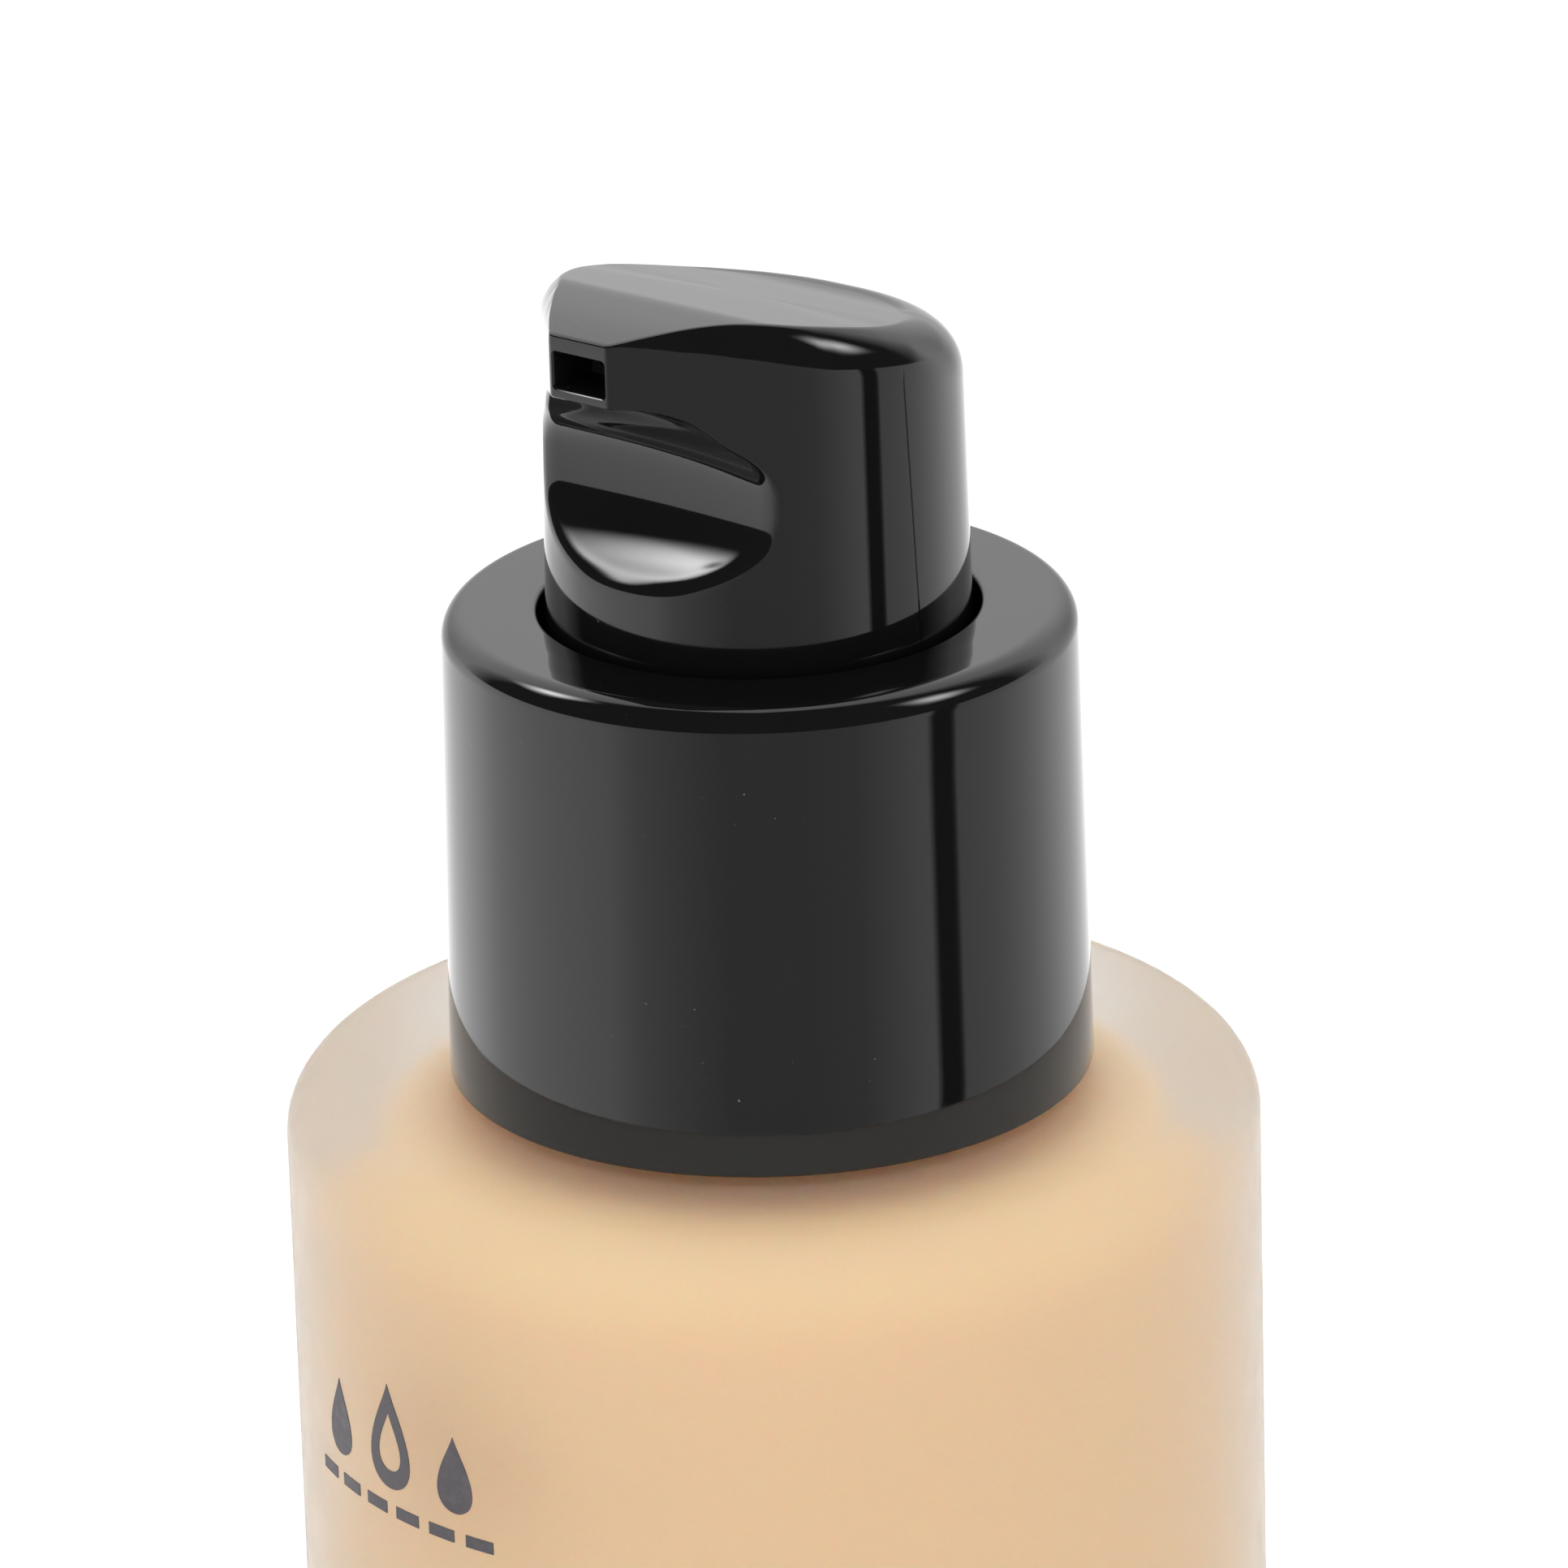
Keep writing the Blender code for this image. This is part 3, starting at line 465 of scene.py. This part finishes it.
# Outlines in the plane of the nozzle, as (distance from the axis towards the nozzle, height).
PAD = [(12.0, 13.2), (10.42, 13.45), (8.5, 13.72), (6.9, 13.78), (5.6, 13.62), (4.4, 13.36), (3.1, 13.07),
       (1.4, 12.69), (0.0, 12.37), (-2.5, 11.8), (-4.6, 11.34), (-9.0, 10.55)]
SCOOP = [(10.0, 2.9), (9.0, 2.93), (8.2, 3.02), (7.5, 3.5), (6.9, 3.98), (6.4, 4.45), (6.0, 4.93),
         (5.78, 5.4), (5.68, 5.9), (5.65, 6.4), (5.68, 7.1), (5.82, 7.8), (6.15, 8.38), (6.6, 8.85),
         (7.05, 9.32), (7.5, 9.78), (8.0, 10.2), (8.8, 10.6), (9.6, 10.83), (10.42, 10.97), (12.0, 11.1)]
SCOOP_HOLLOW = [(4.0, 0.010), (7.3, 0.008), (9.2, 0.018)]   # how fast it gets shallower sideways, by height
SCOOP_MIDDLE = 7.0       # height of the scoop's deepest part
SCOOP_END = 66           # past this angle the wall has no scoop
NO_SCOOP = 99.0          # the scoop's distance where it never reaches the wall
UPPER_LIP, LOWER_LIP = 0.12, 0.52            # how far the scoop's lips are rounded

# A column's steps from the foot up to the pad's middle, and how they bunch up where the surface turns.
STATIONS = [(26, lambda x: 1 - (1 - x) ** 1.6),                                  # the wall under the scoop
            (64, lambda x: 0.6 * (0.5 - 0.5 * np.cos(np.pi * x)) + 0.4 * x),     # the scoop
            (16, lambda x: 0.3 * x + 0.7 * x ** 1.7),                            # the wall over it
            (16, lambda x: 0.5 * x + 0.5 * (1 - (1 - x) ** 2)),                  # the top edge
            (36, lambda x: 0.35 * x + 0.65 * x ** 1.7)]                          # the finger pad
SCOOP_LEAST = 0.5        # length that the scoop's steps take up even where there is no scoop
CRISP, SOFT = 2.6, 8.0   # blur of a column in FINE steps: soft up to the scoop's middle, crisp over it

pad_line = smooth_curve(PAD, blur=0.35)[::-1]
scoop_line = smooth_curve(SCOOP, blur=0.12)


def pad_height(distance):
    return np.interp(distance, pad_line[:, 0], pad_line[:, 1])


def outer_radius(angle, height):
    """Distance from the axis to the actuator's wall, for an angle in radians."""
    circle = WALL_RADIUS - WALL_TAPER * height
    tangent = math.atan2(BEAK_HALF, BEAK_REACH) + np.arccos(circle / math.hypot(BEAK_HALF, BEAK_REACH))
    side = circle / np.cos(np.minimum(angle - tangent, 0))
    front = BEAK_REACH / max(math.cos(angle), 0.05)
    return circle + smoothstep(BEAK_FROM, BEAK_FULL, height) * (smooth_min(side, front, BEAK_BLEND) - circle)


def scoop_radius(angle):
    """Distance from the axis to the scoop's surface, for an angle in radians."""
    sine, cosine = math.sin(angle), math.cos(angle)
    depth = scoop_line[:, 0]
    if abs(sine) < 1e-4:
        return depth / cosine
    curve = np.interp(scoop_line[:, 1], *np.transpose(SCOOP_HOLLOW)) * sine ** 2
    root = cosine ** 2 - 4 * curve * depth
    return np.where(root > 0, (cosine - np.sqrt(np.maximum(root, 0))) / (2 * curve), NO_SCOOP)


def top_edge(angle):
    """The rounded edge's radius, how far it turns before it meets the pad, and the height where it starts."""
    degrees = math.degrees(angle)
    radius = float(np.interp(degrees, *np.transpose(EDGE_RADII)))
    limit = math.radians(np.interp(degrees, *np.transpose(EDGE_TURNS)))
    rise, inset = radius * math.sin(limit), radius * (1 - math.cos(limit))
    start = 12.0
    for _ in range(12):
        wall = float(outer_radius(angle, np.array([start]))[0])
        start = float(pad_height((wall - inset) * math.cos(angle))) - rise
    return radius, limit, start


def scooped(angle, wall, top):
    """The wall's line with the scoop cut into it, and the places of the scoop's two lips if it has them."""
    reach, levels = scoop_radius(angle), scoop_line[:, 1]
    outer = outer_radius(angle, levels)
    rounding = UPPER_LIP + (LOWER_LIP - UPPER_LIP) * (1 - smoothstep(7.5, 9.3, levels))
    hollow = np.stack([smooth_min(reach, outer, rounding), levels], 1)
    kept = (levels < top - 0.1) & (reach > 0.5)
    hollow, cut = hollow[kept], np.nonzero(reach[kept] < outer[kept])[0]
    below = wall[wall[:, 1] < hollow[0, 1]]
    above = wall[wall[:, 1] > hollow[-1, 1]]
    lips = (len(below) + cut[0], len(below) + cut[-1]) if len(cut) > 3 else None
    return np.vstack([below, hollow, above]), lips


def column(angle):
    """The actuator's upright profile from foot to pad's middle, with as many points at every angle."""
    radius, limit, edge = top_edge(angle)
    heights = np.arange(SKIRT + 0.12, edge, FINE)
    wall, lips = np.stack([outer_radius(angle, heights), heights], 1), None
    if math.degrees(angle) < SCOOP_END:
        wall, lips = scooped(angle, wall, edge)
    turn = np.linspace(0, limit, 60)
    fillet = np.stack([wall[-1, 0] - radius * (1 - np.cos(turn)), edge + radius * np.sin(turn)], 1)
    inward = np.linspace(fillet[-1, 0], 0, 400)[1:]
    top = np.stack([inward, pad_height(inward * math.cos(angle))], 1)
    line = np.vstack([wall, fillet, top])
    along = lengths_along(line)
    if lips:
        first, second = along[lips[0]], along[lips[1]]
    else:
        first = second = float(np.interp(SCOOP_MIDDLE, wall[:, 1], along[:len(wall)]))
    spare = max(SCOOP_LEAST - (second - first), 0)
    edge_start, crease = along[len(wall)], along[len(wall) + len(fillet) - 1]
    marks = [0, first - spare / 2, second + spare / 2, edge_start, crease, along[-1]]
    places = [np.zeros(1)]
    for (steps, bunched), low, high in zip(STATIONS, marks, marks[1:]):
        places.append(low + (high - low) * bunched(np.linspace(0, 1, steps + 1)[1:]))
    distance = np.linspace(0, along[-1], int(along[-1] / FINE) + 1)
    fine = np.stack([np.interp(distance, along, line[:, k]) for k in range(2)], 1)
    crisp, soft = blurred(fine, CRISP), blurred(fine, SOFT)
    fine = crisp + (soft - crisp) * (1 - smoothstep(6.5, 8.5, fine[:, 1:]))
    return np.stack([np.interp(np.concatenate(places), distance, fine[:, k]) for k in range(2)], 1)


def parting_line(degrees, heights):
    """How far a column near the parting line leans round with it, and how deep the line cuts into it."""
    lean = (3.2 - 0.302 * heights) * math.exp(-((degrees - PARTING) / 9) ** 2)
    off = abs(degrees - PARTING)
    depth = 0.05 if off < 0.01 else 0.025 if off < 0.2 else 0.0
    return lean, depth * (1 - smoothstep(10.4, 11.2, heights))


def inner_column(degrees, foot):
    """The way back inside: under the skirt, up its bore and the cavity's wall, and in along the ceiling."""
    wall = min(CAVITY, CAVITY_FRONT / max(math.cos(math.radians(degrees)), 0.3))
    line = [(foot - 0.12, SKIRT), (SKIRT_BORE + 0.1, SKIRT), (SKIRT_BORE, SKIRT + 0.1), (SKIRT_BORE, -0.6),
            (SKIRT_BORE, 0.9), (wall, 1.1)]
    line += [(wall, height) for height in np.linspace(2.0, CAVITY_TOP - 0.2, 7)] + [(wall - 0.2, CAVITY_TOP)]
    return np.array(line + [(wall * share, CAVITY_TOP) for share in np.linspace(0.9, 0.1, 8)])


def actuator_surface():
    """The whole shell: columns from the pad's middle down and back up inside, on one half and its mirror."""
    angles = np.concatenate([np.linspace(0, 6.6, 9), np.linspace(6.8, 8.4, 11), np.linspace(9, 36, 28),
                             np.linspace(36.6, 50, 32), np.linspace(51.5, 81, 20), [82.3, 83.0],
                             PARTING + np.array([-0.3, -0.15, 0, 0.15, 0.3]), [84.0, 84.7],
                             np.linspace(86.5, 180, 50)])
    half = []
    for degrees in angles:
        outer = column(math.radians(degrees))[-2::-1]
        inner = inner_column(degrees, outer[-1, 0])
        lean, groove = parting_line(degrees, outer[:, 1])
        turn = np.radians(np.concatenate([degrees + lean, np.full(len(inner), degrees)]))
        radius = np.concatenate([outer[:, 0] - groove, inner[:, 0]])
        height = DECK + np.concatenate([outer[:, 1], inner[:, 1]])
        half.append(np.stack([radius * np.sin(turn), -radius * np.cos(turn), height], 1))
    grid = np.stack(half + [line * (-1, 1, 1) for line in half[-2:0:-1]], 1)
    rows, count = grid.shape[:2]
    pole, ceiling, last = rows * count, rows * count + 1, (rows - 1) * count
    ends = [(0, 0, DECK + float(pad_height(0.0))), (0, 0, DECK + CAVITY_TOP)]
    faces = ring_faces(rows, count)
    faces += [(pole, (i + 1) % count, i) for i in range(count)]
    faces += [(ceiling, last + i, last + (i + 1) % count) for i in range(count)]
    return np.vstack([grid.reshape(-1, 3), ends]), [f[::-1] for f in faces]


def rounded_box(width, height, corner, steps=5):
    wide, high, points = width / 2 - corner, height / 2 - corner, []
    for across, up, start in ((1, 1, 0), (-1, 1, 90), (-1, -1, 180), (1, -1, 270)):
        points += arc(across * wide, up * high, corner, start, start + 90, steps)
    return points


def cut_mouth(piece):
    """Cuts the nozzle's mouth, which opens out slightly at its rim."""
    flare = [(MOUTH_BACK, 0.0), (BEAK_REACH - 0.12, 0.0), (BEAK_REACH - 0.03, 0.05), (BEAK_REACH + 0.5, 0.6)]
    rings = []
    for reach, grow in flare:
        section = rounded_box(MOUTH_WIDTH + 2 * grow, MOUTH_HEIGHT + 2 * grow, MOUTH_CORNER + grow)
        rings.append([(x, -reach, DECK + MOUTH_LEVEL + z) for x, z in section])
    size = len(rings[0])
    mesh = bpy.data.meshes.new("mouth_cutter")
    faces = [f[::-1] for f in ring_faces(len(rings), size)]
    faces += [tuple(range(size)), tuple((len(rings) - 1) * size + m for m in range(size))[::-1]]
    mesh.from_pydata((np.concatenate(rings) * MM).tolist(), [], faces)
    face_outwards(mesh)
    cutter = new_object("mouth_cutter", mesh)
    step = piece.modifiers.new("mouth", "BOOLEAN")
    step.operation, step.solver, step.object = "DIFFERENCE", "EXACT", cutter
    graph = bpy.context.evaluated_depsgraph_get()
    result = bpy.data.meshes.new_from_object(piece.evaluated_get(graph))
    piece.modifiers.clear()
    piece.data = result
    bpy.data.objects.remove(cutter)
    result.shade_smooth()
    result.set_sharp_from_angle(angle=math.radians(SHARP))


def make_actuator(black):
    points, faces = actuator_surface()
    cut_mouth(make_piece("actuator_skin", points, faces, black, "actuator", ["actuator_shell"]))


# ---------------------------------------------------------------- printed mark

MARK_CENTRE, MARK_TOP = -4.7, 49.9           # distance round the wall from the front, and height
INK_INSIDE, INK_OUTSIDE = -0.02, 0.025       # levels of the film's two faces over the glass
BIG_DROP, SMALL_DROP, DROP_SPACING = 2.2, 1.6, 3.7
DASHES, DASH_LENGTH, DASH_GAP, DASH_WIDTH = 6, 1.35, 0.6, 0.5
SMALL_DROPS_DOWN, DASHES_DOWN = 2.7, 5.3     # how far their middles are under the mark's top


def on_wall(around, height, level):
    """A point at a level over the bottle's wall."""
    turn = around / BODY_RADIUS
    return ((BODY_RADIUS + level) * math.sin(turn), -(BODY_RADIUS + level) * math.cos(turn), height)


def drop_side(size, around, scale=1.0):
    """How far a drop's outline is from its axis, and how high, at an angle from its tip."""
    size *= scale
    return size * 0.80 * math.sin(around) * math.sin(around / 2) ** 1.5, size * math.cos(around)


def drop_outline(centre, height, size, steps=96):
    """A drop drawn in outline with its tip up, as pairs of outer and inner points."""
    strip = []
    for k in range(steps):
        for scale, lower in ((1.0, 0.0), (0.56, 0.10)):
            wide, high = drop_side(size, 2 * math.pi * k / steps, scale)
            strip.append((centre + wide, height + high - lower * size))
    return strip


def solid_drop(centre, height, size, steps=40):
    """A filled drop with its tip up, as pairs of points on its two sides."""
    sides = [drop_side(size, math.pi * (k + 0.5) / steps) for k in range(steps)]
    return [(centre + side * wide, height + high) for wide, high in sides for side in (1, -1)]


def bar(start, end, height, width, steps):
    """A level bar, as pairs of upper and lower points."""
    return [(a, height + side * width / 2) for a in np.linspace(start, end, steps) for side in (1, -1)]


def print_strip(strip, points, faces, closed=False):
    """Lays a ribbon of point pairs on the wall as a thin film of ink."""
    first, count = len(points), len(strip) // 2
    for level in (INK_INSIDE, INK_OUTSIDE):
        points += [on_wall(around, height, level) for around, height in strip]
    top, end = first + len(strip), 2 * (count - 1)
    for k in range(count if closed else count - 1):
        i, j = 2 * k, 2 * ((k + 1) % count)
        faces.append((top + i, top + j, top + j + 1, top + i + 1))
        faces.append((first + i, first + i + 1, first + j + 1, first + j))
        faces.append((first + i, first + j, top + j, top + i))
        faces.append((first + i + 1, top + i + 1, top + j + 1, first + j + 1))
    if not closed:
        faces.append((first, top, top + 1, first + 1))
        faces.append((first + end, first + end + 1, top + end + 1, top + end))


def make_mark():
    """A generic print: three drops over a row of dashes."""
    points, faces = [], []
    print_strip(drop_outline(MARK_CENTRE, MARK_TOP - BIG_DROP, BIG_DROP), points, faces, closed=True)
    for side in (-1, 1):
        centre, height = MARK_CENTRE + side * DROP_SPACING, MARK_TOP - SMALL_DROPS_DOWN
        print_strip(solid_drop(centre, height, SMALL_DROP), points, faces)
    for k in range(DASHES):
        start = MARK_CENTRE + (DASH_LENGTH + DASH_GAP) * (k - DASHES / 2) + DASH_GAP / 2
        print_strip(bar(start, start + DASH_LENGTH, MARK_TOP - DASHES_DOWN, DASH_WIDTH, 10), points, faces)
    make_piece("printed_mark", points, faces, ink(), "root")


# ---------------------------------------------------------------- CAD nodes that stay

def finish_cad_nodes():
    natural = moulded("natural_polypropylene_clouded", (0.60, 0.60, 0.58), (0.74, 0.74, 0.72), 0.36)
    inner_black = moulded("black_polypropylene_matt", (0.010, 0.010, 0.011), (0.018, 0.018, 0.019), 0.38)
    seal = moulded("piston_polyethylene_waxy", (0.62, 0.66, 0.70), (0.74, 0.77, 0.80), 0.42, 0.15)
    finishes = {"screw_closure": inner_black, "nozzle_core": inner_black, "neck_gasket": foam(),
                "pump_housing": natural, "retaining_turret": natural, "stem": natural, "dip_tube": natural,
                "valve_plug": seal, "piston": seal, "inlet_ball": steel("polished_ball_steel")}
    for name, finish in finishes.items():
        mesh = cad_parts[name].data
        mesh.materials.clear()
        mesh.materials.append(finish)
        mesh.shade_smooth()
        mesh.set_sharp_from_angle(angle=math.radians(38))


# ---------------------------------------------------------------- camera

VIEW_AZIMUTH = 38.5      # the side the object is seen from, from -Y towards +X
VIEW_ELEVATION, VIEW_ROLL = 22.409, -1.619
VIEW_DISTANCE, VIEW_LENS = 425.18, 250.3     # distance from the axis at the shoulder's height
AIM_RIGHT, AIM_UP = 0.762, 11.574            # what the camera points at, from the same place on the axis

azimuth, elevation = math.radians(VIEW_AZIMUTH), math.radians(VIEW_ELEVATION)
towards = Vector((math.sin(azimuth), -math.cos(azimuth), 0.0))
rightwards = Vector((math.cos(azimuth), math.sin(azimuth), 0.0))
upwards = Vector((0.0, 0.0, 1.0))


def make_camera():
    target = rightwards * AIM_RIGHT * MM + upwards * (SHOULDER + AIM_UP) * MM
    place = (towards * math.cos(elevation) + upwards * math.sin(elevation)) * VIEW_DISTANCE * MM
    place += upwards * SHOULDER * MM
    data = bpy.data.cameras.new("camera")
    data.sensor_width = 36.0
    data.lens = VIEW_LENS
    data.clip_start, data.clip_end = 0.01, 20.0
    camera = new_object("camera", data)
    turn = (target - place).to_track_quat("-Z", "Y").to_matrix().to_4x4()
    camera.matrix_world = Matrix.Translation(place) @ turn @ Matrix.Rotation(math.radians(VIEW_ROLL), 4, "Z")
    bpy.context.scene.camera = camera


# ---------------------------------------------------------------- floor and studio

# The studio's directions are degrees to the right of the camera, and degrees over the horizon.
# Brightness of the white table round the object, with a narrow dark gap on its right, and of the room.
TABLE = [(-180, 1.9), (-140, 1.9), (-112, 1.55), (-72, 1.5), (-58, 1.4), (-46, 0.97), (-36, 0.8), (-25, 0.64),
         (-14, 0.5), (14, 0.5), (33, 0.58), (44, 0.8), (55, 1.05), (61.2, 1.12), (62.4, 0.03), (71.4, 0.03),
         (72.8, 0.85), (88, 0.92), (121, 1.3), (150, 1.75), (180, 1.9)]
ROOM = [(-180, 1.6), (-130, 1.6), (-112, 0.06), (100, 0.06), (125, 1.5), (180, 1.6)]
BRIGHTEST = 2.0          # a ramp's colours stay under 1, so they hold the brightness divided by this
SOFTBOXES = [(-111, 8, 47, 5, 18.0), (76, 8, 40, 8, 10.0)]  # direction, half width, height, half height, power
SOFTBOX_EDGE = 9         # their light fades out this far inside and outside their edges


def make_floor():
    material, tree, shader = nodes_of("pale_floor")
    tree.links.new(mix(tree, noise(tree, 0.01, 2.0), (0.84, 0.84, 0.84), (0.86, 0.86, 0.86)),
                   shader.inputs["Base Color"])
    shader.inputs["Roughness"].default_value = 0.9
    shader.inputs["Specular IOR Level"].default_value = 0.1
    shader.inputs["Emission Color"].default_value = (1.0, 1.0, 1.0, 1.0)
    shader.inputs["Emission Strength"].default_value = 0.15
    mesh = bpy.data.meshes.new("floor")
    mesh.from_pydata([(-4, -4, 0), (4, -4, 0), (4, 4, 0), (-4, 4, 0)], [], [(0, 1, 2, 3)])
    mesh.materials.append(material)
    floor = new_object("floor", mesh)
    floor.visible_glossy = False         # the black gloss reflects the studio's table in the world instead
    floor.visible_transmission = False   # and the frosted glass lets the world's soft light through


def world_direction(tree):
    """A ray's direction: how far it goes to the right of the camera, and how far over the horizon."""
    place = tree.nodes.new("ShaderNodeTexCoord")

    def along(axis):
        node = tree.nodes.new("ShaderNodeVectorMath")
        node.operation = "DOT_PRODUCT"
        tree.links.new(place.outputs["Generated"], node.inputs[0])
        node.inputs[1].default_value = axis
        return node.outputs["Value"]

    turn = math_node(tree, "ARCTAN2", along(rightwards), along(towards))
    height = math_node(tree, "ARCSINE", along(upwards))
    return (math_node(tree, "MULTIPLY", angle, 180 / math.pi) for angle in (turn, height))


def horizon_ramp(tree, turn, stops):
    """Brightness round the horizon, from stops of (direction, brightness)."""
    node = tree.nodes.new("ShaderNodeValToRGB")
    node.color_ramp.interpolation = "LINEAR"
    tree.links.new(math_node(tree, "MULTIPLY_ADD", turn, 1 / 360, 0.5), node.inputs["Fac"])
    elements = node.color_ramp.elements
    for degrees, _ in stops[1:-1]:
        elements.new(degrees / 360 + 0.5)
    for element, (_, brightness) in zip(elements, stops):
        element.color = (brightness / BRIGHTEST,) * 3 + (1.0,)
    return math_node(tree, "MULTIPLY", node.outputs["Color"], BRIGHTEST)


def blended(tree, factor, first, second):
    """first where the factor is 0, second where it is 1."""
    kept = math_node(tree, "MULTIPLY", first, math_node(tree, "SUBTRACT", 1.0, factor))
    return math_node(tree, "ADD", kept, math_node(tree, "MULTIPLY", second, factor))


def reflected_studio(tree, turn, height):
    """What gloss sees: table, dark room in front, bright sweep behind that dips low down, and softboxes."""
    table, room = horizon_ramp(tree, turn, TABLE), horizon_ramp(tree, turn, ROOM)
    level = blended(tree, between(tree, height, -1.0, 1.0), table, room)
    behind = between(tree, math_node(tree, "ABSOLUTE", turn), 118, 150)
    low = between(tree, math_node(tree, "ABSOLUTE", height), 2, 34, 1.0, 0.0)
    dip = math_node(tree, "MULTIPLY_ADD", math_node(tree, "MULTIPLY", behind, low), -0.55, 1.0)
    level = math_node(tree, "MULTIPLY", level, dip)
    for direction, wide, middle, tall, strength in SOFTBOXES:
        sideways = math_node(tree, "ABSOLUTE", math_node(tree, "SUBTRACT", turn, direction))
        off_middle = math_node(tree, "ABSOLUTE", math_node(tree, "SUBTRACT", height, middle))
        across = between(tree, sideways, wide - SOFTBOX_EDGE, wide + SOFTBOX_EDGE, strength, 0.0)
        upright = between(tree, off_middle, tall - SOFTBOX_EDGE, tall + SOFTBOX_EDGE, 1.0, 0.0)
        level = math_node(tree, "ADD", level, math_node(tree, "MULTIPLY", across, upright))
    return level


def soft_light(tree, turn, height, diffuse_depth):
    """What lights matt and frosted surfaces: an even sky, brighter overhead, and a wide key in front."""
    front = between(tree, math_node(tree, "ABSOLUTE", turn), 50, 100, 1.0, 0.0)
    rising, high = between(tree, height, -2, 6), between(tree, height, 20, 50, 0.68, 0.28)
    key = math_node(tree, "MULTIPLY", front, math_node(tree, "MULTIPLY", rising, high))
    key = math_node(tree, "MULTIPLY", key, math_node(tree, "MINIMUM", diffuse_depth, 1.0))
    return math_node(tree, "ADD", key, between(tree, height, 35, 60, 0.89, 1.3))


def make_studio():
    """All the light is in the world: white to the camera, the studio to gloss, soft light to the rest."""
    world = bpy.data.worlds.new("studio")
    world.use_nodes = True
    bpy.context.scene.world = world
    tree = world.node_tree
    background = tree.nodes["Background"]
    turn, height = world_direction(tree)
    path = tree.nodes.new("ShaderNodeLightPath")
    mirrored = math_node(tree, "SUBTRACT", 1.0, path.outputs["Is Transmission Ray"])
    gloss = math_node(tree, "MULTIPLY", path.outputs["Is Glossy Ray"], mirrored)
    soft = soft_light(tree, turn, height, path.outputs["Diffuse Depth"])
    soft = blended(tree, path.outputs["Is Camera Ray"], soft, 1.0)
    level = blended(tree, gloss, soft, reflected_studio(tree, turn, height))
    tree.links.new(level, background.inputs["Strength"])
    background.inputs["Color"].default_value = (1.0, 0.998, 0.995, 1.0)


black = gloss_black()
glass = frosted_glass()
make_bottle(glass)
make_liquid()
make_thread_bead(glass)
make_spring()
make_overshell(black)
make_actuator(black)
make_mark()
finish_cad_nodes()
make_camera()
make_floor()
make_studio()
bpy.context.scene.view_settings.view_transform = "Standard"
